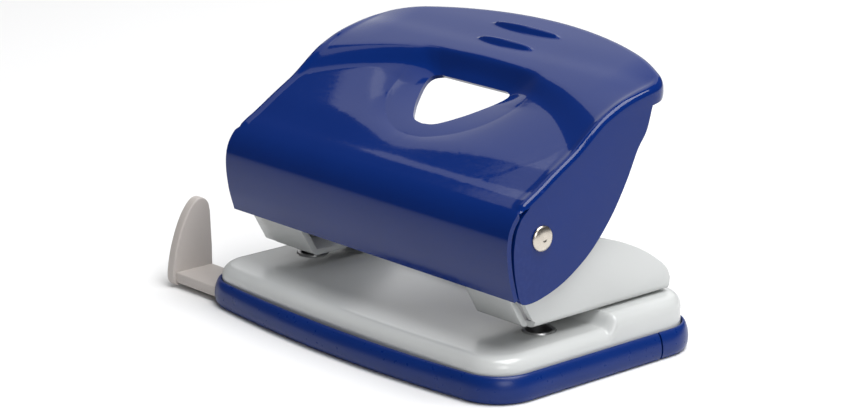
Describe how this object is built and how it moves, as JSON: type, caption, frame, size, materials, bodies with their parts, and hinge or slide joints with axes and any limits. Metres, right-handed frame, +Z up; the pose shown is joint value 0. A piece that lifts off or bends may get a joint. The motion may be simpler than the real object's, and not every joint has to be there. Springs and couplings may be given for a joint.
{
  "type": "two hole punch",
  "caption": "Desk hole punch for loose sheets: a wide pressed handle over punch brackets on a steel base, with a chip tray and a sliding paper guide.",
  "frame": {"origin": "on the desk under the middle of the punch, on the underside of the chip tray", "axes": "+X to the user's right along the handle, +Y away from the user, +Z up"},
  "size_m": [0.1211, 0.0696, 0.0682],
  "materials": {
    "blue_paint": "high gloss enamel",
    "blue_plastic": "moulded, lightly glossy",
    "grey_paint": "satin gloss enamel",
    "grey_plastic": "moulded, satin",
    "nickel": "nickel plated",
    "steel": "zinc plated or ground"
  },
  "bodies": {
    "base": {"base_plate": "grey_paint", "left_bracket": "grey_paint", "left_bracket_rivet_1": "nickel", "left_bracket_rivet_2": "nickel", "left_die": "steel", "left_pin_spring": "steel", "left_pivot_rivet": "nickel", "left_pivot_washer": "steel", "right_bracket": "grey_paint", "right_bracket_rivet_1": "nickel", "right_bracket_rivet_2": "nickel", "right_die": "steel", "right_pin_spring": "steel", "right_pivot_rivet": "nickel", "right_pivot_washer": "steel", "tray_rear_clip": "blue_plastic"},
    "handle": {"handle": "blue_paint", "press_bar": "steel"},
    "left_pin": {"left_punch_pin": "steel"},
    "right_pin": {"right_punch_pin": "steel"},
    "tray": {"chip_tray": "blue_plastic"},
    "guide": {"paper_guide": "grey_plastic"}
  },
  "joints": [
    {"name": "handle_hinge", "type": "hinge", "parent": "base", "child": "handle", "pos_m": [0, -0.0146, 0.03525], "axis": [-1, 0, 0], "range_deg": [0, 28], "stiffness_Nm_per_rad": 0.42, "springref_deg": -22.35},
    {"name": "left_pin_slide", "type": "slide", "parent": "base", "child": "left_pin", "axis": [0, 0, -1], "range_m": [0, 0.0051], "deforming": ["left_pin_spring"]},
    {"name": "right_pin_slide", "type": "slide", "parent": "base", "child": "right_pin", "axis": [0, 0, -1], "range_m": [0, 0.0051], "deforming": ["right_pin_spring"]},
    {"name": "chip_tray_hinge", "type": "hinge", "parent": "base", "child": "tray", "pos_m": [0, 0.0198, 0], "axis": [1, 0, 0], "range_deg": [0, 65]},
    {"name": "paper_guide_slide", "type": "slide", "parent": "tray", "child": "guide", "axis": [-1, 0, 0], "range_m": [-0.0108, 0.055]}
  ],
  "couplings": [
    {"joint": "left_pin_slide", "follows": "handle_hinge", "m_per_rad": 0.01029},
    {"joint": "right_pin_slide", "follows": "handle_hinge", "m_per_rad": 0.01029}
  ]
}
